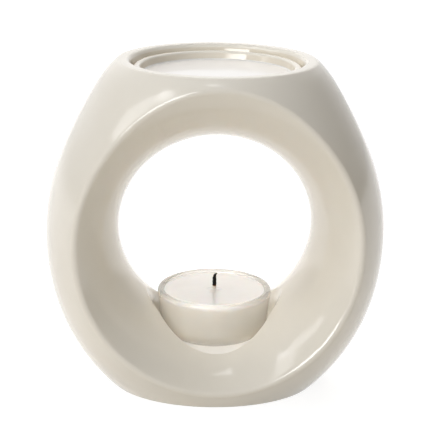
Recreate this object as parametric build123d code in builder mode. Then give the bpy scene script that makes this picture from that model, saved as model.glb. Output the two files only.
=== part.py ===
"""Oil burner: a glazed barrel body pierced by a flared round tunnel, with a lift-out oil dish
in its mouth and a tealight in a glass cup standing in a pocket of the tunnel floor."""

import os

from build123d import *

os.makedirs("parts", exist_ok=True)

# Barrel body, in millimetres: X across, Y front to back, Z up, origin at the centre of the foot
body_width = 130.0
barrel_depth = 119.6
body_height = 128.0
foot_width = 80.0
foot_depth = 61.0
foot_round = 2.5
foot_ring_width = 7.0
foot_recess_depth = 2.0

# Lower sections of the barrel: how high they lie, and how far they have swelled from the foot to full size
lower_height_shares = (0.06, 0.16, 0.30, 0.45)
lower_width_shares = (0.280, 0.615, 0.888, 0.995)
lower_depth_shares = (0.222, 0.529, 0.829, 0.994)

# Upper sections of the barrel: how high they lie, and how much of the swell from rim to full size they keep
upper_height_shares = (0.60, 0.75, 0.88)
upper_width_shares = (0.941, 0.720, 0.414)
upper_depth_shares = (0.995, 0.786, 0.469)

# Tunnel through the barrel, a round throat that flares to a soft ridge at the front and the back
tunnel_sill = 25.8
tunnel_crown = 27.8
flare_radius = 47.3
ridge_round = 2.0

# Mouth at the top, with a lip, a ledge for the dish and a funnel that lets heat reach the dish
lip_width = 4.0
lip_outer_round = 2.0
lip_inner_round = 1.6
mouth_radius = 33.4
mouth_lean = 1.5
ledge_width = 1.9
funnel_gap = 2.1
funnel_depth = 9.0
heat_hole_radius = 9.0

# Oil dish
dish_clearance = 0.4
dish_drop = 2.3
dish_rim_width = 2.6
dish_rim_thickness = 4.0
dish_depth = 3.1
dish_wall_lean = 0.9
dish_floor_thickness = 3.5
dish_round = 0.8

# Tealight cup of clear glass
cup_height = 18.7
cup_rim_radius = 22.3
cup_wall_lean = 1.7
cup_corner_round = 6.5
cup_wall = 2.7
cup_floor = 3.0
cup_rim_round = 1.2

# Pocket in the tunnel floor that the cup stands in
pocket_clearance = 1.7
pocket_depth = 6.7
pocket_wall_height = 11.9
pocket_draft_angle = 22.0

# Candle: wax, wick and the metal foot that holds the wick
wax_clearance = 0.1
wax_below_rim = 0.8
wick_radius = 0.8
wick_clearance = 0.1
wick_free_length = 4.6
wick_bend_radius = 2.4
wick_bend_angle = 48.0
sustainer_radius = 6.5
sustainer_thickness = 0.4
collar_wall = 0.5
collar_height = 3.0

# Every cut runs past the surface by this much
overrun = 5.0

# Levels and radii that follow from the sizes above
throat_radius = (body_height - tunnel_sill - tunnel_crown) / 2
tunnel_level = tunnel_sill + throat_radius
pocket_floor_level = tunnel_sill - pocket_depth
pocket_radius = cup_rim_radius + pocket_clearance
rim_radius = mouth_radius + lip_width
ledge_radius = mouth_radius - mouth_lean
funnel_radius = ledge_radius - ledge_width
dish_top_level = body_height - dish_drop
ledge_level = dish_top_level - dish_rim_thickness
dish_floor_level = dish_top_level - dish_depth
dish_base_level = dish_floor_level - dish_floor_thickness
funnel_top_level = dish_base_level - funnel_gap
funnel_base_level = funnel_top_level - funnel_depth
cup_rim_level = pocket_floor_level + cup_height
cup_floor_level = pocket_floor_level + cup_floor
cup_base_radius = cup_rim_radius - cup_wall_lean
wax_level = cup_rim_level - wax_below_rim

# Burner body: the barrel is a loft through ellipses, closed at the top by the round mouth
foot_swell = (body_width - foot_width, barrel_depth - foot_depth)
rim_swell = (body_width - 2 * rim_radius, barrel_depth - 2 * rim_radius)
with BuildPart() as burner_body:
    with BuildSketch(Plane.XY):
        Ellipse(foot_width / 2, foot_depth / 2)
    for height_share, width_share, depth_share in zip(
        lower_height_shares, lower_width_shares, lower_depth_shares
    ):
        section_width = foot_width + width_share * foot_swell[0]
        section_depth = foot_depth + depth_share * foot_swell[1]
        with BuildSketch(Plane.XY.offset(height_share * body_height)):
            Ellipse(section_width / 2, section_depth / 2)
    for height_share, width_share, depth_share in zip(
        upper_height_shares, upper_width_shares, upper_depth_shares
    ):
        section_width = 2 * rim_radius + width_share * rim_swell[0]
        section_depth = 2 * rim_radius + depth_share * rim_swell[1]
        with BuildSketch(Plane.XY.offset(height_share * body_height)):
            Ellipse(section_width / 2, section_depth / 2)
    with BuildSketch(Plane.XY.offset(body_height)):
        Circle(rim_radius)
    loft()
    fillet(burner_body.edges().group_by(Axis.Z)[0], foot_round)
    fillet(burner_body.edges().group_by(Axis.Z)[-1], lip_outer_round)

    # Tunnel: a flare arc turned about the tunnel's level axis
    tunnel_plane = Plane(origin=(0, 0, tunnel_level), x_dir=(0, 1, 0), z_dir=(1, 0, 0))
    flare_reach = throat_radius + flare_radius
    tunnel_reach = barrel_depth / 2 + overrun
    with BuildSketch(tunnel_plane):
        with BuildLine():
            CenterArc((0, flare_reach), flare_radius, 180, 180)
            Polyline(
                (flare_radius, flare_reach),
                (tunnel_reach, flare_reach),
                (tunnel_reach, 0),
                (-tunnel_reach, 0),
                (-tunnel_reach, flare_reach),
                (-flare_radius, flare_reach),
            )
        make_face()
    revolve(axis=Axis((0, 0, tunnel_level), (0, 1, 0)), mode=Mode.SUBTRACT)
    ridge_edges = burner_body.edges(Select.LAST).filter_by(
        lambda edge: abs(edge.center().Y) > throat_radius / 2
    )
    fillet(ridge_edges, ridge_round)

    # Pocket for the tealight cup: a straight wall that opens out above
    pocket_top_level = tunnel_level - throat_radius / 2
    pocket_wall_level = pocket_floor_level + pocket_wall_height
    with BuildSketch(Plane.XY.offset(pocket_floor_level)):
        Circle(pocket_radius)
    extrude(amount=pocket_wall_height, mode=Mode.SUBTRACT)
    with BuildSketch(Plane.XY.offset(pocket_wall_level)):
        Circle(pocket_radius)
    extrude(
        amount=pocket_top_level - pocket_wall_level,
        taper=-pocket_draft_angle,
        mode=Mode.SUBTRACT,
    )

    # Mouth: leaning inner wall, ledge for the dish, funnel and heat hole down to the tunnel
    with BuildSketch(Plane.XZ):
        with BuildLine():
            Polyline(
                (0, tunnel_level),
                (heat_hole_radius, tunnel_level),
                (heat_hole_radius, funnel_base_level),
                (funnel_radius, funnel_top_level),
                (funnel_radius, ledge_level),
                (ledge_radius, ledge_level),
                (ledge_radius, dish_top_level),
                (mouth_radius, body_height),
                (mouth_radius, body_height + overrun),
                (0, body_height + overrun),
                close=True,
            )
        make_face()
    revolve(axis=Axis.Z, mode=Mode.SUBTRACT)
    fillet(burner_body.edges(Select.LAST).group_by(Axis.Z)[-1], lip_inner_round)

    # Foot ring that the body stands on, round a shallow recess
    with BuildSketch(Plane.XY):
        Ellipse(foot_width / 2 - foot_ring_width, foot_depth / 2 - foot_ring_width)
    extrude(amount=foot_recess_depth, mode=Mode.SUBTRACT)

burner_body.part.label = "burner_body"
export_step(burner_body.part, "parts/burner_body.step")

# Oil dish: a shallow bowl whose thick rim rests on the mouth's ledge
dish_rim_radius = ledge_radius - dish_clearance
dish_bowl_radius = funnel_radius - dish_clearance
dish_inner_radius = dish_rim_radius - dish_rim_width
with BuildPart() as oil_dish:
    with BuildSketch(Plane.XZ):
        with BuildLine():
            FilletPolyline(
                (0, dish_base_level),
                (dish_bowl_radius, dish_base_level),
                (dish_bowl_radius, ledge_level),
                (dish_rim_radius, ledge_level),
                (dish_rim_radius, dish_top_level),
                (dish_inner_radius, dish_top_level),
                (dish_inner_radius - dish_wall_lean, dish_floor_level),
                (0, dish_floor_level),
                radius=(
                    0, dish_round, 0, dish_round, dish_round, dish_round, dish_round, 0
                ),
                close=True,
            )
        make_face()
    revolve(axis=Axis.Z)
oil_dish.part.label = "oil_dish"
export_step(oil_dish.part, "parts/oil_dish.step")

# Tealight cup: a thick glass bowl with a rounded foot and rim
with BuildPart() as tealight_cup:
    with BuildSketch(Plane.XZ):
        with BuildLine():
            FilletPolyline(
                (0, pocket_floor_level),
                (cup_base_radius, pocket_floor_level),
                (cup_rim_radius, cup_rim_level),
                (cup_rim_radius - cup_wall, cup_rim_level),
                (cup_base_radius - cup_wall, cup_floor_level),
                (0, cup_floor_level),
                radius=(
                    0, cup_corner_round, cup_rim_round, cup_rim_round, cup_corner_round - cup_wall, 0
                ),
                close=True,
            )
        make_face()
    revolve(axis=Axis.Z)
tealight_cup.part.label = "tealight_cup"
export_step(tealight_cup.part, "parts/tealight_cup.step")

# Candle wax: fills the cup to below its rim, with room for the wick and its metal foot
wax_base_radius = cup_base_radius - cup_wall - wax_clearance
wax_top_radius = wax_base_radius + cup_wall_lean * (cup_height - wax_below_rim) / cup_height
wick_bore_radius = wick_radius + wick_clearance
collar_radius = wick_bore_radius + collar_wall
collar_top_level = cup_floor_level + collar_height
sustainer_level = cup_floor_level + sustainer_thickness
with BuildPart() as candle_wax:
    with BuildSketch(Plane.XZ):
        with BuildLine():
            FilletPolyline(
                (wick_bore_radius, wax_level),
                (wax_top_radius, wax_level),
                (wax_base_radius, cup_floor_level),
                (sustainer_radius + wax_clearance, cup_floor_level),
                (sustainer_radius + wax_clearance, sustainer_level + wax_clearance),
                (collar_radius + wax_clearance, sustainer_level + wax_clearance),
                (collar_radius + wax_clearance, collar_top_level + wax_clearance),
                (wick_bore_radius, collar_top_level + wax_clearance),
                radius=(0, 0, cup_corner_round - cup_wall, 0, 0, 0, 0, 0),
                close=True,
            )
        make_face()
    revolve(axis=Axis.Z)
candle_wax.part.label = "candle_wax"
export_step(candle_wax.part, "parts/candle_wax.step")

# Wick sustainer: a thin metal disc with a collar round the foot of the wick
with BuildPart() as wick_sustainer:
    with BuildSketch(Plane.XZ):
        with BuildLine():
            Polyline(
                (0, cup_floor_level),
                (sustainer_radius, cup_floor_level),
                (sustainer_radius, sustainer_level),
                (collar_radius, sustainer_level),
                (collar_radius, collar_top_level),
                (wick_bore_radius, collar_top_level),
                (wick_bore_radius, sustainer_level),
                (0, sustainer_level),
                close=True,
            )
        make_face()
    revolve(axis=Axis.Z)
wick_sustainer.part.label = "wick_sustainer"
export_step(wick_sustainer.part, "parts/wick_sustainer.step")

# Wick: stands in the collar, comes up through the wax and bends over at its tip
with BuildPart() as wick:
    with BuildLine(Plane.XZ):
        stem = Line((0, sustainer_level), (0, wax_level + wick_free_length))
        JernArc(stem @ 1, stem % 1, wick_bend_radius, -wick_bend_angle)
    with BuildSketch(Plane.XY.offset(sustainer_level)):
        Circle(wick_radius)
    sweep()
wick.part.label = "wick"
export_step(wick.part, "parts/wick.step")
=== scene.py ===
"""Looks of the oil burner: ivory glaze on the body and the dish, a pale glass cup, wax and a burnt wick."""

import math

import bpy
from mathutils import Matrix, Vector


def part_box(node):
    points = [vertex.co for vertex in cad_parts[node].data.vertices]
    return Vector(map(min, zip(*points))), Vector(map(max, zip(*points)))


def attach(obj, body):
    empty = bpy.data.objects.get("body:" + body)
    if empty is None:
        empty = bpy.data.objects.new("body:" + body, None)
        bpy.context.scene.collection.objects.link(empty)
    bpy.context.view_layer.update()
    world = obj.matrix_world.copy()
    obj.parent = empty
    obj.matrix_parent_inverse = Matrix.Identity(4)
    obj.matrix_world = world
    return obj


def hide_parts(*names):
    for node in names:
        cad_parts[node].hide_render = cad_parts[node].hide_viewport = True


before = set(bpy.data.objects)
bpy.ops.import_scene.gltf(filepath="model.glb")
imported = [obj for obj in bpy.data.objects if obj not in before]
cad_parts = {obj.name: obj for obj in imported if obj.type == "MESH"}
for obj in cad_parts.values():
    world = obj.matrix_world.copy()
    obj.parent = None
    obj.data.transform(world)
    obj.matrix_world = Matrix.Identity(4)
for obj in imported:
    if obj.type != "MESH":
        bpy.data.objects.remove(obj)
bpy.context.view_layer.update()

# Sizes are in metres, with +Z up and -Y towards the viewer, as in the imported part
FULL_TURN = 2 * math.pi
MERGE_DISTANCE = 0.000002

# Glazed body, with the zones of its painted light and painted shade
POCKET_RADIUS = 0.0237
POCKET_FLOOR = 0.0185
POCKET_EDGE = 0.0260
MOUTH_WALL_RADIUS = 0.0330
MOUTH_WALL_FOOT = 0.1185
MOUTH_WALL_TOP = 0.1268
FOOT_WIPE_HEIGHT = 0.0005
FOOT_WIPE_FACING = -0.9

# Round pieces
RING_POINTS = 144
CORNER_STEPS = 8
FLAT_EDGE = 0.0004
SMOOTH_ANGLE = math.radians(40)

# Oil dish
DISH_RIM_WIDTH = 0.0026
DISH_RIM_THICKNESS = 0.0040
DISH_LEDGE_WIDTH = 0.0019
DISH_DEPTH = 0.0031
DISH_WALL_LEAN = 0.0009
DISH_SOFT_ROUND = 0.0012
DISH_FLOOR_ROUND = 0.0006
DISH_BASE_ROUND = 0.0008

# Tealight cup
CUP_RIM_RADIUS = 0.0223
CUP_WALL_LEAN = 0.0017
CUP_WALL = 0.0027
CUP_FLOOR = 0.0030
CUP_CORNER_ROUND = 0.0065
CUP_RIM_ROUND = 0.0012
CLEAR_RIM = 0.0026

# Wax
WAX_WETTING = 0.00012
WAX_BELOW_RIM = 0.0012
WAX_CLIMB = 0.0003
WAX_CLIMB_WIDTH = 0.0012
WICK_POOL_RADIUS = 0.0032
WICK_POOL_CLIMB = 0.0005

# Wick
WICK_RADIUS = 0.0008
WICK_FREE_LENGTH = 0.0050
WICK_BEND_RADIUS = 0.0024
WICK_BEND_ANGLE = math.radians(48)
WICK_STRANDS = 3
WICK_POINTS = 24
WICK_STRAND_DEPTH_SHARE = 0.16
WICK_LAY_LENGTH = 0.0042
WICK_STEP = 0.00025
WICK_TIP_LENGTH = 0.0022
WICK_TIP_SHARE = 0.45

# Reach of a noise, and the soft edge of a zone of painted light or painted shade on the glaze
NOISE_LOW = 0.3
NOISE_HIGH = 0.7
ZONE_EDGE = 0.0003

# Tones of the finishes, as (place, colour) stops over a noise or over a height
GLAZE_TONES = (
    (0.30, (0.870, 0.826, 0.738)),
    (0.52, (0.890, 0.850, 0.768)),
    (0.75, (0.904, 0.867, 0.790)),
)
# Painted light: whiter glaze on the floor of the candle pocket and of the dish
PAINTED_LIGHT_TONES = ((0.30, (0.945, 0.93, 0.90)), (0.75, (0.965, 0.955, 0.935)))
# Painted shade: darker, warmer glaze on the mouth's wall and on the dish wall
PAINTED_SHADE_TONES = ((0.30, (0.80, 0.735, 0.62)), (0.75, (0.83, 0.77, 0.66)))
BISCUIT_TONES = ((0.35, (0.60, 0.53, 0.44)), (0.70, (0.72, 0.66, 0.57)))
GLASS_TONES = ((0.30, (0.90, 0.86, 0.775)), (0.70, (0.92, 0.885, 0.81)))
RIM_TONES = ((0.30, (0.965, 0.945, 0.91)), (0.70, (0.98, 0.965, 0.94)))
GLASS_CLARITY = ((0.0, (0.55, 0.55, 0.55)), (1.0, (0.70, 0.70, 0.70)))
# Painted shade: the wax's colour by height, darker and warmer lower down
WAX_PAINTED_SHADE_TONES = (
    (0.00, (0.52, 0.49, 0.43)),
    (0.60, (0.64, 0.615, 0.575)),
    (0.92, (0.77, 0.75, 0.72)),
    (0.98, (0.985, 0.955, 0.935)),
)
WAX_CLOUD_TONES = ((0.30, (0.96, 0.96, 0.955)), (0.70, (1, 1, 1)))
CHAR_TONES = (
    (0.00, (0.85, 0.81, 0.76)),
    (0.20, (0.72, 0.62, 0.54)),
    (0.24, (0.16, 0.055, 0.02)),
    (0.30, (0.010, 0.008, 0.007)),
    (0.90, (0.012, 0.009, 0.008)),
    (1.00, (0.25, 0.10, 0.04)),
)
TIN_TONES = ((0.35, (0.56, 0.56, 0.55)), (0.70, (0.72, 0.72, 0.70)))

# Gloss and light in the finishes
GLASS_INDEX = 1.5
WAX_INDEX = 1.45
BISCUIT_ROUGHNESS = 0.85
CHAR_ROUGHNESS = 0.95
CHAR_SHINE = 0.1
WAX_GLOW = 0.6
WAX_GLOW_DEPTH = 0.003
WAX_GLOW_TINT = (1.0, 0.8, 0.65)

# Camera, found by fitting the photograph's outline
CAMERA_AZIMUTH = math.radians(-2.329)
CAMERA_ELEVATION = math.radians(16.935)
CAMERA_DISTANCE = 0.5288
CAMERA_AIM = Vector((-0.00015, 0.0, 0.06709))
CAMERA_ROLL = math.radians(0.839)
CAMERA_LENS = 114.78
CAMERA_SENSOR = 36.0

# Studio, with each wall as the way to it and its glow
FLOOR_SIZE = 4.0
FLOOR_MATT = (0.72, 0.67, 0.58, 1)
FLOOR_VEIL = (0.30, 0.30, 0.30, 1)
FLOOR_GLOW = 0.88
WHITE = (1, 1, 1)
LAMP_AIM = Vector((0, 0, 0.06))
LAMP_HALF = 0.5
LAMP_CORE = 0.36
SIDE_WALL_SHARE = 0.08
SIDE_WALL_EDGE = 0.30
WALL_EDGE = 0.2
LEFT_WALL = ((-1, 0, 0), (0.06, 0.065, 0.075))
ROOM = ((-0.42, -0.91, 0), (1.40, 1.40, 1.39))


def deselect_all():
    """Leaves nothing selected, so that an operator acts on the new piece alone."""
    if bpy.context.mode != "OBJECT":
        bpy.ops.object.mode_set(mode="OBJECT")
    bpy.ops.object.select_all(action="DESELECT")


def make_active(piece):
    """Selects one piece alone."""
    deselect_all()
    piece.select_set(True)
    bpy.context.view_layer.objects.active = piece


def rounded_outline(corners):
    """Points of an outline given as (radius, height, round) corners, with each round as an arc."""
    points = []
    for number, (radius, height, rounding) in enumerate(corners):
        corner = Vector((radius, height))
        if rounding == 0 or number in (0, len(corners) - 1):
            points.append(corner)
            continue
        before = (Vector(corners[number - 1][:2]) - corner).normalized()
        after = (Vector(corners[number + 1][:2]) - corner).normalized()
        half = before.angle(after) / 2
        middle = corner + (before + after).normalized() * (rounding / math.sin(half))
        start = corner + before * (rounding / math.tan(half)) - middle
        end = corner + after * (rounding / math.tan(half)) - middle
        sweep = start.angle_signed(end)
        for step in range(CORNER_STEPS + 1):
            turn = -sweep * step / CORNER_STEPS
            arm = Vector((
                start.x * math.cos(turn) - start.y * math.sin(turn),
                start.x * math.sin(turn) + start.y * math.cos(turn),
            ))
            points.append(middle + arm)
    return points


def draw_up(name, outline):
    """Draws a round piece up ring by ring, as on a wheel, from its base to its last flat."""
    deselect_all()
    first = outline[0]
    bpy.ops.mesh.primitive_circle_add(
        vertices=RING_POINTS, radius=first.x, fill_type="NGON", location=(0, 0, first.y)
    )
    piece = bpy.context.object
    piece.name = name
    bpy.ops.object.mode_set(mode="EDIT")
    for last, ring in zip(outline, outline[1:]):
        rise = ring.y - last.y
        bpy.ops.mesh.extrude_region_move(TRANSFORM_OT_translate={"value": (0, 0, rise)})
        widen = ring.x / last.x
        bpy.ops.transform.resize(value=(widen, widen, 1), center_override=(0, 0, ring.y))
    bpy.ops.mesh.select_all(action="SELECT")
    bpy.ops.mesh.remove_doubles(threshold=MERGE_DISTANCE)
    bpy.ops.mesh.normals_make_consistent(inside=False)
    bpy.ops.object.mode_set(mode="OBJECT")
    bpy.ops.object.transform_apply(location=True, rotation=True, scale=True)
    bpy.ops.object.shade_smooth_by_angle(angle=SMOOTH_ANGLE)
    return piece


def dress(piece, body, node, slot, *materials):
    """Puts a finished piece on its body in place of its plain node, with its materials."""
    piece.data.materials.clear()
    for material in materials:
        piece.data.materials.append(material)
    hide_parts(node)
    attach(piece, body)
    return piece


def add_node(tree, kind, **settings):
    """A new node with some of its settings."""
    node = tree.nodes.new(kind)
    for name, value in settings.items():
        setattr(node, name, value)
    return node


def combine(tree, operation, first, second):
    """Two values put together, such as their product or the larger of them."""
    node = add_node(tree, "ShaderNodeMath", operation=operation)
    tree.links.new(first, node.inputs[0])
    tree.links.new(second, node.inputs[1])
    return node.outputs["Value"]


def fade(tree, value, start, end, low=0.0, high=1.0, ease="LINEAR"):
    """Low at the start and high at the end, with a straight or an eased way between them."""
    node = add_node(tree, "ShaderNodeMapRange", interpolation_type=ease)
    node.inputs["From Min"].default_value = start
    node.inputs["From Max"].default_value = end
    node.inputs["To Min"].default_value = low
    node.inputs["To Max"].default_value = high
    tree.links.new(value, node.inputs["Value"])
    return node.outputs["Result"]


def start_material(name):
    """A new material, its node tree, its shader and the piece's own coordinates."""
    material = bpy.data.materials.new(name)
    material.use_nodes = True
    tree = material.node_tree
    place = add_node(tree, "ShaderNodeTexCoord")
    return material, tree, tree.nodes["Principled BSDF"], place.outputs["Object"]


def noise(tree, place, grain, detail, stretch=(1, 1, 1)):
    """A soft noise over the piece, whose grain is its size in metres."""
    mapping = add_node(tree, "ShaderNodeMapping")
    mapping.inputs["Scale"].default_value = stretch
    texture = add_node(tree, "ShaderNodeTexNoise")
    texture.inputs["Scale"].default_value = 1 / grain
    texture.inputs["Detail"].default_value = detail
    tree.links.new(place, mapping.inputs["Vector"])
    tree.links.new(mapping.outputs["Vector"], texture.inputs["Vector"])
    return texture.outputs["Fac"]


def spread(tree, value, low, high):
    """Maps a noise onto a range of plain numbers."""
    return fade(tree, value, NOISE_LOW, NOISE_HIGH, low, high)


def ramp(tree, value, stops):
    """Colours a value by (place, colour) stops."""
    node = add_node(tree, "ShaderNodeValToRGB")
    elements = node.color_ramp.elements
    while len(elements) < len(stops):
        elements.new(1.0)
    for element, (position, colour) in zip(elements, stops):
        element.position = position
        element.color = (*colour, 1.0)
    tree.links.new(value, node.inputs["Fac"])
    return node.outputs["Color"]


def relief(tree, shader, value, depth):
    """Raises the surface by a noise, depth in metres."""
    node = add_node(tree, "ShaderNodeBump")
    node.inputs["Strength"].default_value = 1.0
    node.inputs["Distance"].default_value = depth
    tree.links.new(value, node.inputs["Height"])
    tree.links.new(node.outputs["Normal"], shader.inputs["Normal"])


def height_over_floor(tree, place):
    """The height over the floor that the burner stands on."""
    split = add_node(tree, "ShaderNodeSeparateXYZ")
    tree.links.new(place, split.inputs["Vector"])
    return split.outputs["Z"]


def round_zone(tree, place, radius, low, high):
    """One within a radius of the middle and between two heights, and zero elsewhere."""
    level = add_node(tree, "ShaderNodeVectorMath", operation="MULTIPLY")
    level.inputs[1].default_value = (1, 1, 0)
    tree.links.new(place, level.inputs[0])
    out = add_node(tree, "ShaderNodeVectorMath", operation="LENGTH")
    tree.links.new(level.outputs["Vector"], out.inputs[0])
    up = height_over_floor(tree, place)
    inside = fade(tree, out.outputs["Value"], radius, radius - ZONE_EDGE)
    over = fade(tree, up, low - ZONE_EDGE, low)
    under = fade(tree, up, high, high - ZONE_EDGE)
    return combine(tree, "MULTIPLY", inside, combine(tree, "MULTIPLY", over, under))


def lay_over(tree, under, over, share):
    """Lays one colour over another by a share."""
    mix = add_node(tree, "ShaderNodeMixRGB")
    tree.links.new(share, mix.inputs["Fac"])
    tree.links.new(under, mix.inputs["Color1"])
    tree.links.new(over, mix.inputs["Color2"])
    return mix.outputs["Color"]


def ivory_glaze(name, painted_light_zone, painted_shade_zone):
    """Glossy ivory glaze with painted light, whiter on the floor of the hollow, and painted shade, warmer
    and darker on the steep wall.
    """
    material, tree, shader, place = start_material(name)
    coat = noise(tree, place, grain=0.034, detail=3.0)
    colour = ramp(tree, coat, GLAZE_TONES)
    # Lays painted light over the floor zone and painted shade over the wall zone
    for tones, zone in ((PAINTED_LIGHT_TONES, painted_light_zone), (PAINTED_SHADE_TONES, painted_shade_zone)):
        colour = lay_over(tree, colour, ramp(tree, coat, tones), round_zone(tree, place, *zone))
    tree.links.new(colour, shader.inputs["Base Color"])
    polish = spread(tree, noise(tree, place, grain=0.012, detail=2.0), low=0.06, high=0.11)
    tree.links.new(polish, shader.inputs["Roughness"])
    shader.inputs["IOR"].default_value = GLASS_INDEX
    relief(tree, shader, noise(tree, place, grain=0.018, detail=1.0), depth=0.00006)
    return material


def bare_foot():
    """The foot ring, wiped clean of glaze before firing: a dry, slightly gritty biscuit."""
    material, tree, shader, place = start_material("bare_foot")
    grit = noise(tree, place, grain=0.0006, detail=4.0)
    tree.links.new(ramp(tree, grit, BISCUIT_TONES), shader.inputs["Base Color"])
    shader.inputs["Roughness"].default_value = BISCUIT_ROUGHNESS
    relief(tree, shader, grit, depth=0.00008)
    return material


def cup_glass(rim):
    """Pale pressed glass, milky below and clearer at its rim, with a waviness from the mould."""
    material, tree, shader, place = start_material("cup_glass")
    batch = noise(tree, place, grain=0.015, detail=1.0)
    clear = fade(tree, height_over_floor(tree, place), rim - CLEAR_RIM, rim - CUP_RIM_ROUND)
    colour = lay_over(tree, ramp(tree, batch, GLASS_TONES), ramp(tree, batch, RIM_TONES), clear)
    tree.links.new(colour, shader.inputs["Base Color"])
    tree.links.new(ramp(tree, clear, GLASS_CLARITY), shader.inputs["Transmission Weight"])
    shader.inputs["IOR"].default_value = GLASS_INDEX
    haze = spread(tree, noise(tree, place, grain=0.009, detail=2.0), low=0.0, high=0.03)
    tree.links.new(haze, shader.inputs["Roughness"])
    relief(tree, shader, noise(tree, place, grain=0.011, detail=1.0), depth=0.00003)
    return material


def paraffin_wax(low, high):
    """White wax with a shiny top. Light enters it from above, so its colour is painted darker and warmer
    lower down, as painted shade.
    """
    material, tree, shader, place = start_material("paraffin_wax")
    cloud = noise(tree, place, grain=0.008, detail=3.0)
    depth = fade(tree, height_over_floor(tree, place), low, high)
    mix = add_node(tree, "ShaderNodeMixRGB", blend_type="MULTIPLY")
    mix.inputs["Fac"].default_value = 1.0
    # Painted shade by height, times a random cloudiness
    tree.links.new(ramp(tree, depth, WAX_PAINTED_SHADE_TONES), mix.inputs["Color1"])
    tree.links.new(ramp(tree, cloud, WAX_CLOUD_TONES), mix.inputs["Color2"])
    tree.links.new(mix.outputs["Color"], shader.inputs["Base Color"])
    shader.inputs["Subsurface Weight"].default_value = WAX_GLOW
    shader.inputs["Subsurface Radius"].default_value = WAX_GLOW_TINT
    shader.inputs["Subsurface Scale"].default_value = WAX_GLOW_DEPTH
    tree.links.new(spread(tree, cloud, low=0.05, high=0.09), shader.inputs["Roughness"])
    shader.inputs["IOR"].default_value = WAX_INDEX
    relief(tree, shader, noise(tree, place, grain=0.006, detail=2.0), depth=0.00002)
    return material


def burnt_cotton(low, high):
    """Charred cotton wick: pale at the wax, black along its length and brown at the tip."""
    material, tree, shader, place = start_material("burnt_cotton")
    along = fade(tree, height_over_floor(tree, place), low, high)
    tree.links.new(ramp(tree, along, CHAR_TONES), shader.inputs["Base Color"])
    shader.inputs["Roughness"].default_value = CHAR_ROUGHNESS
    shader.inputs["Specular IOR Level"].default_value = CHAR_SHINE
    relief(tree, shader, noise(tree, place, grain=0.0003, detail=4.0), depth=0.0001)
    return material


def tinned_steel():
    """Thin tinned sheet with fine rolling lines."""
    material, tree, shader, place = start_material("tinned_steel")
    lines = noise(tree, place, grain=0.0008, detail=2.0, stretch=(1, 20, 1))
    tree.links.new(ramp(tree, lines, TIN_TONES), shader.inputs["Base Color"])
    shader.inputs["Metallic"].default_value = 1.0
    tree.links.new(spread(tree, lines, low=0.22, high=0.38), shader.inputs["Roughness"])
    return material


def glazed_body():
    """The ceramic body: its modelled form, closed up into one evenly shaded skin."""
    deselect_all()
    piece = bpy.data.objects.new("glazed_body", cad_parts["burner_body"].data.copy())
    bpy.context.scene.collection.objects.link(piece)
    make_active(piece)
    bpy.ops.object.mode_set(mode="EDIT")
    bpy.ops.mesh.select_all(action="SELECT")
    bpy.ops.mesh.remove_doubles(threshold=MERGE_DISTANCE)
    bpy.ops.object.mode_set(mode="OBJECT")
    bpy.ops.mesh.customdata_custom_splitnormals_clear()
    bpy.ops.object.shade_smooth_by_angle(angle=SMOOTH_ANGLE)
    even = piece.modifiers.new("even_shading", "WEIGHTED_NORMAL")
    even.mode = "FACE_AREA_WITH_ANGLE"
    even.keep_sharp = True
    bpy.ops.object.modifier_apply(modifier=even.name)
    return piece


def wipe_foot(piece):
    """Gives the faces that the body stands on to the second material, the bare foot."""
    for face in piece.data.polygons:
        if face.center.z < FOOT_WIPE_HEIGHT and face.normal.z < FOOT_WIPE_FACING:
            face.material_index = 1


def glazed_dish():
    """The lift-out oil dish, a shallow bowl with a thick rim."""
    low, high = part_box("oil_dish")
    rim_radius = high.x
    bowl_radius = rim_radius - DISH_LEDGE_WIDTH
    inner_radius = rim_radius - DISH_RIM_WIDTH
    floor_radius = inner_radius - DISH_WALL_LEAN
    ledge = high.z - DISH_RIM_THICKNESS
    floor = high.z - DISH_DEPTH
    outline = rounded_outline((
        (bowl_radius - DISH_BASE_ROUND - FLAT_EDGE, low.z, 0),
        (bowl_radius, low.z, DISH_BASE_ROUND),
        (bowl_radius, ledge, 0),
        (rim_radius, ledge, DISH_BASE_ROUND),
        (rim_radius, high.z, DISH_SOFT_ROUND),
        (inner_radius, high.z, DISH_SOFT_ROUND),
        (floor_radius, floor, DISH_FLOOR_ROUND),
        (floor_radius - DISH_FLOOR_ROUND - FLAT_EDGE, floor, 0),
        (floor_radius / 2, floor, 0),
    ))
    return draw_up("glazed_dish", outline)


def glass_cup():
    """The thick glass cup, with a rounded foot and a fire-polished rim."""
    low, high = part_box("tealight_cup")
    base_radius = CUP_RIM_RADIUS - CUP_WALL_LEAN
    inner_floor = low.z + CUP_FLOOR
    inner_base_radius = base_radius - CUP_WALL
    inner_round = CUP_CORNER_ROUND - CUP_WALL
    outline = rounded_outline((
        (base_radius / 2, low.z, 0),
        (base_radius, low.z, CUP_CORNER_ROUND),
        (CUP_RIM_RADIUS, high.z, CUP_RIM_ROUND),
        (CUP_RIM_RADIUS - CUP_WALL, high.z, CUP_RIM_ROUND),
        (inner_base_radius, inner_floor, inner_round),
        (inner_base_radius / 2, inner_floor, 0),
    ))
    return draw_up("glass_cup", outline)


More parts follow.
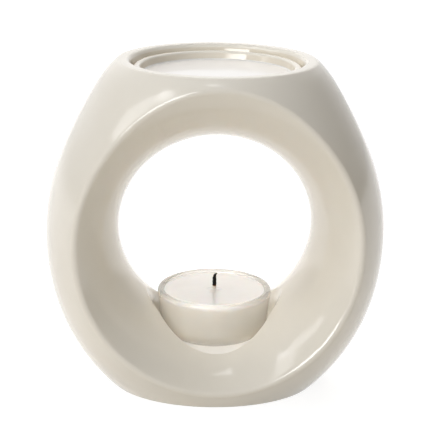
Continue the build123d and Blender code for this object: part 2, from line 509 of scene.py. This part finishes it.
def wax_fill():
    """The wax: wets the glass, climbs its wall a little at the edge and the wick at the middle."""
    low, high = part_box("tealight_cup")
    level = high.z - WAX_BELOW_RIM
    base_radius = CUP_RIM_RADIUS - CUP_WALL_LEAN - CUP_WALL + WAX_WETTING
    cup_height = high.z - low.z
    filled = (cup_height - WAX_BELOW_RIM + WAX_CLIMB) / cup_height
    top_radius = base_radius + CUP_WALL_LEAN * filled
    floor = low.z + CUP_FLOOR - WAX_WETTING
    outline = rounded_outline((
        (base_radius / 2, floor, 0),
        (base_radius, floor, CUP_CORNER_ROUND - CUP_WALL),
        (top_radius, level + WAX_CLIMB, 0),
        (top_radius - WAX_CLIMB_WIDTH, level, WAX_CLIMB_WIDTH),
        (WICK_POOL_RADIUS, level, WICK_POOL_RADIUS / 2),
        (WICK_RADIUS, level + WICK_POOL_CLIMB, 0),
    ))
    return draw_up("wax_fill", outline)


def wick_path(base, level):
    """Points along the wick from its foot: straight up, then over to one side, with headings."""
    stem = level + WICK_FREE_LENGTH - base
    bend = WICK_BEND_RADIUS * WICK_BEND_ANGLE
    steps = round((stem + bend) / WICK_STEP)
    path = []
    for step in range(steps + 1):
        run = (stem + bend) * step / steps
        lean = max(0.0, run - stem) / WICK_BEND_RADIUS
        across = WICK_BEND_RADIUS * (1 - math.cos(lean))
        up = base + min(run, stem) + WICK_BEND_RADIUS * math.sin(lean)
        path.append((run, lean, Vector((across, 0, up))))
    return path


def wick_thickness(run, length):
    """The wick's thickness as a share: full along its length, and burnt thin towards its tip."""
    to_tip = min(1.0, (length - run) / WICK_TIP_LENGTH)
    return WICK_TIP_SHARE + (1 - WICK_TIP_SHARE) * to_tip


def braided_wick():
    """The wick: strands laid round each other, bent over at the burnt tip."""
    low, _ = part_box("wick")
    _, cup_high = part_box("tealight_cup")
    path = wick_path(low.z, cup_high.z - WAX_BELOW_RIM)
    length = path[-1][0]
    deselect_all()
    bpy.ops.mesh.primitive_circle_add(
        vertices=WICK_POINTS, radius=WICK_RADIUS, fill_type="NGON", location=path[0][2]
    )
    piece = bpy.context.object
    piece.name = "braided_wick"
    bpy.ops.object.transform_apply(location=True, rotation=True, scale=True)
    for corner in piece.data.vertices:
        angle = math.atan2(corner.co.y, corner.co.x)
        pinch = 1 - WICK_STRAND_DEPTH_SHARE * (1 - math.cos(WICK_STRANDS * angle)) / 2
        corner.co.x *= pinch
        corner.co.y *= pinch
    bpy.ops.object.mode_set(mode="EDIT")
    bpy.ops.mesh.select_all(action="SELECT")
    for (last_run, last_lean, last_point), (run, lean, point) in zip(path, path[1:]):
        bpy.ops.mesh.extrude_region_move(TRANSFORM_OT_translate={"value": point - last_point})
        thin = wick_thickness(run, length) / wick_thickness(last_run, length)
        bpy.ops.transform.resize(value=(thin, thin, thin), center_override=point)
        lay = FULL_TURN * (run - last_run) / WICK_LAY_LENGTH
        bpy.ops.transform.rotate(
            value=-lay, orient_axis="Z", orient_type="GLOBAL", center_override=point,
        )
        if lean > last_lean:
            bpy.ops.transform.rotate(
                value=-(lean - last_lean), orient_axis="Y", orient_type="GLOBAL", center_override=point,
            )
    bpy.ops.mesh.select_all(action="SELECT")
    bpy.ops.mesh.normals_make_consistent(inside=False)
    bpy.ops.object.mode_set(mode="OBJECT")
    bpy.ops.object.shade_smooth_by_angle(angle=SMOOTH_ANGLE)
    return piece


def seeing_rays(tree):
    """The rays of the eye, straight or through glass, and those of reflections."""
    path = add_node(tree, "ShaderNodeLightPath")
    eye = combine(tree, "MAXIMUM", path.outputs["Is Camera Ray"], path.outputs["Is Transmission Ray"])
    return eye, path.outputs["Is Glossy Ray"]


def add_up(tree, first, second):
    """Two shaders together."""
    both = add_node(tree, "ShaderNodeAddShader")
    tree.links.new(first, both.inputs[0])
    tree.links.new(second, both.inputs[1])
    return both.outputs["Shader"]


def choose_by_ray(tree, output, seeing, lighting, seen):
    """One shader for the rays that light the object, and another for those that see it."""
    choose = add_node(tree, "ShaderNodeMixShader")
    tree.links.new(seeing, choose.inputs["Fac"])
    tree.links.new(lighting, choose.inputs[1])
    tree.links.new(seen, choose.inputs[2])
    tree.links.new(choose.outputs["Shader"], tree.nodes[output].inputs["Surface"])


def side_walls(tree):
    """How white the surround is for a reflection: full before and behind the object, less at its sides."""
    place = add_node(tree, "ShaderNodeTexCoord")
    split = add_node(tree, "ShaderNodeSeparateXYZ")
    tree.links.new(place.outputs["Generated"], split.inputs["Vector"])
    along = add_node(tree, "ShaderNodeMath", operation="ABSOLUTE")
    tree.links.new(split.outputs["Y"], along.inputs[0])
    return fade(tree, along.outputs["Value"], SIDE_WALL_EDGE, 1.0, low=SIDE_WALL_SHARE, ease="SMOOTHSTEP")


def wall_glow(tree, facing, glow):
    """The soft light of one wall of the studio, brightest straight towards it."""
    place = add_node(tree, "ShaderNodeTexCoord")
    towards = add_node(tree, "ShaderNodeVectorMath", operation="DOT_PRODUCT")
    towards.inputs[1].default_value = facing
    tree.links.new(place.outputs["Generated"], towards.inputs[0])
    wall = add_node(tree, "ShaderNodeBackground")
    wall.inputs["Color"].default_value = (*glow, 1.0)
    share = fade(tree, towards.outputs["Value"], WALL_EDGE, 1.0, ease="SMOOTHSTEP")
    tree.links.new(share, wall.inputs["Strength"])
    return wall.outputs["Background"]


def studio_world():
    """A surround that looks white, also through glass and in the glaze, and lights from two soft walls."""
    world = bpy.data.worlds.new("studio_surround")
    world.use_nodes = True
    tree = world.node_tree
    eye, mirror = seeing_rays(tree)
    white = tree.nodes["Background"]
    white.inputs["Color"].default_value = (*WHITE, 1)
    reflected = combine(tree, "MULTIPLY", mirror, side_walls(tree))
    tree.links.new(combine(tree, "MAXIMUM", eye, reflected), white.inputs["Strength"])
    walls = add_up(tree, wall_glow(tree, *LEFT_WALL), wall_glow(tree, *ROOM))
    seeing = combine(tree, "MAXIMUM", eye, mirror)
    choose_by_ray(tree, "World Output", seeing, walls, white.outputs["Background"])
    bpy.context.scene.world = world


def studio_floor():
    """A pale floor that shows white and keeps a faint shadow."""
    deselect_all()
    bpy.ops.mesh.primitive_plane_add(size=FLOOR_SIZE, location=(0, 0, 0))
    floor = bpy.context.object
    floor.name = "studio_floor"
    material = bpy.data.materials.new("pale_floor")
    material.use_nodes = True
    tree = material.node_tree
    tree.nodes.remove(tree.nodes["Principled BSDF"])
    matt = add_node(tree, "ShaderNodeBsdfDiffuse")
    matt.inputs["Color"].default_value = FLOOR_MATT
    veil = add_node(tree, "ShaderNodeBsdfDiffuse")
    veil.inputs["Color"].default_value = FLOOR_VEIL
    glow = add_node(tree, "ShaderNodeEmission")
    glow.inputs["Strength"].default_value = FLOOR_GLOW
    seen_white = add_up(tree, veil.outputs["BSDF"], glow.outputs["Emission"])
    seeing = combine(tree, "MAXIMUM", *seeing_rays(tree))
    choose_by_ray(tree, "Material Output", seeing, matt.outputs["BSDF"], seen_white)
    floor.data.materials.append(material)


def soft_edge(lamp):
    """Lets a lamp's glow fade out towards its edges, as behind a diffuser."""
    lamp.use_nodes = True
    tree = lamp.node_tree
    cloth = add_node(tree, "ShaderNodeNewGeometry")
    split = add_node(tree, "ShaderNodeSeparateXYZ")
    tree.links.new(cloth.outputs["Parametric"], split.inputs["Vector"])
    both = combine(tree, "ADD", split.outputs["X"], split.outputs["Y"])
    fades = []
    for place in (split.outputs["Y"], both):
        away = add_node(tree, "ShaderNodeMath", operation="SUBTRACT")
        away.inputs[1].default_value = LAMP_HALF
        tree.links.new(place, away.inputs[0])
        apart = add_node(tree, "ShaderNodeMath", operation="ABSOLUTE")
        tree.links.new(away.outputs["Value"], apart.inputs[0])
        fades.append(fade(tree, apart.outputs["Value"], LAMP_HALF, LAMP_CORE, ease="SMOOTHSTEP"))
    tree.links.new(combine(tree, "MULTIPLY", *fades), tree.nodes["Emission"].inputs["Strength"])


def set_up(name, data, aim, bearing, elevation, distance, roll):
    """Sets up a lamp or a camera at a distance from its aim, facing it, with angles in radians."""
    level = math.cos(elevation)
    out = Vector((math.sin(bearing) * level, -math.cos(bearing) * level, math.sin(elevation)))
    stand = bpy.data.objects.new(name, data)
    bpy.context.scene.collection.objects.link(stand)
    stand.location = aim + distance * out
    stand.rotation_euler = out.to_track_quat("Z", "Y").to_euler()
    stand.rotation_euler.rotate_axis("Z", roll)
    return stand


def softbox(name, bearing, height, distance, size, power, tint=WHITE, roll=0):
    """A rectangular lamp that faces the object, on a bearing from the viewer and a height, in degrees."""
    lamp = bpy.data.lights.new(name, "AREA")
    lamp.shape = "RECTANGLE"
    lamp.size, lamp.size_y = size
    lamp.energy = power
    lamp.color = tint
    return set_up(
        name, lamp, LAMP_AIM, math.radians(bearing), math.radians(height), distance, math.radians(roll)
    )


def studio_lights():
    """Soft lamps from the upper left, windows that only the glaze shows, and diffusers that it doesn't."""
    keys = (
        softbox("left_key", bearing=-81, height=44, distance=1.05, size=(0.90, 0.40), power=3.2, roll=73),
        softbox("upper_key", bearing=-46, height=52, distance=1.05, size=(0.64, 0.34), power=1.9, roll=10),
        softbox("top_lamp", bearing=0, height=74, distance=0.95, size=(0.24, 0.16), power=0.45),
    )
    window = softbox("window", bearing=-31, height=18, distance=1.0, size=(0.60, 0.45), power=9.0)
    side_window = softbox(
        "side_window", bearing=-81, height=44, distance=1.05, size=(0.80, 0.36), power=1.6, roll=73
    )
    diffusers = (
        softbox(
            "back_diffuser", bearing=180, height=58, distance=1.0, size=(1.3, 1.3), power=7.9,
            tint=(0.97, 0.95, 0.95),
        ),
        softbox(
            "tunnel_lamp", bearing=180, height=28, distance=1.0, size=(0.6, 0.5), power=4.6,
            tint=(1, 0.96, 0.93),
        ),
    )
    for lamp in (*keys, side_window):
        soft_edge(lamp.data)
    for lamp in (window, side_window):
        lamp.visible_diffuse = False
    for lamp in diffusers:
        lamp.visible_glossy = False


def photo_camera():
    """The camera at the photograph's viewpoint."""
    data = bpy.data.cameras.new("photo_camera")
    data.lens = CAMERA_LENS
    data.sensor_width = CAMERA_SENSOR
    bpy.context.scene.camera = set_up(
        "photo_camera", data, CAMERA_AIM, CAMERA_AZIMUTH, CAMERA_ELEVATION, CAMERA_DISTANCE, CAMERA_ROLL
    )


# Zone of painted light on the candle pocket's floor
pocket = (POCKET_RADIUS, POCKET_FLOOR, POCKET_EDGE)
# Zone of painted shade on the mouth's wall
mouth_wall = (MOUTH_WALL_RADIUS, MOUTH_WALL_FOOT, MOUTH_WALL_TOP)
body_glaze = ivory_glaze("body_glaze", pocket, mouth_wall)
body = dress(glazed_body(), "body", "burner_body", "ivory_glaze", body_glaze, bare_foot())
wipe_foot(body)

_, dish_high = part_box("oil_dish")
dish_floor = dish_high.z - DISH_DEPTH
dish_wall_foot = dish_floor + DISH_FLOOR_ROUND
# Zone of painted light on the dish floor
dish_painted_light = (dish_high.x, dish_floor, dish_wall_foot)
# Zone of painted shade on the dish wall
dish_wall = (dish_high.x - DISH_RIM_WIDTH, dish_wall_foot, dish_high.z)
dish_glaze = ivory_glaze("dish_glaze", dish_painted_light, dish_wall)
dress(glazed_dish(), "dish", "oil_dish", "ivory_glaze", dish_glaze)

cup_low, cup_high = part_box("tealight_cup")
_, wick_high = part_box("wick")
wax_level = cup_high.z - WAX_BELOW_RIM
cup = dress(glass_cup(), "candle", "tealight_cup", "cup_glass", cup_glass(cup_high.z))
wax = dress(wax_fill(), "candle", "candle_wax", "paraffin_wax", paraffin_wax(cup_low.z, wax_level))
for piece in (cup, wax):
    piece.visible_shadow = False
dress(braided_wick(), "candle", "wick", "cotton_wick", burnt_cotton(wax_level, wick_high.z))
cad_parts["wick_sustainer"].data.materials[0] = tinned_steel()

studio_world()
studio_floor()
studio_lights()
photo_camera()
bpy.context.scene.view_settings.view_transform = "Standard"
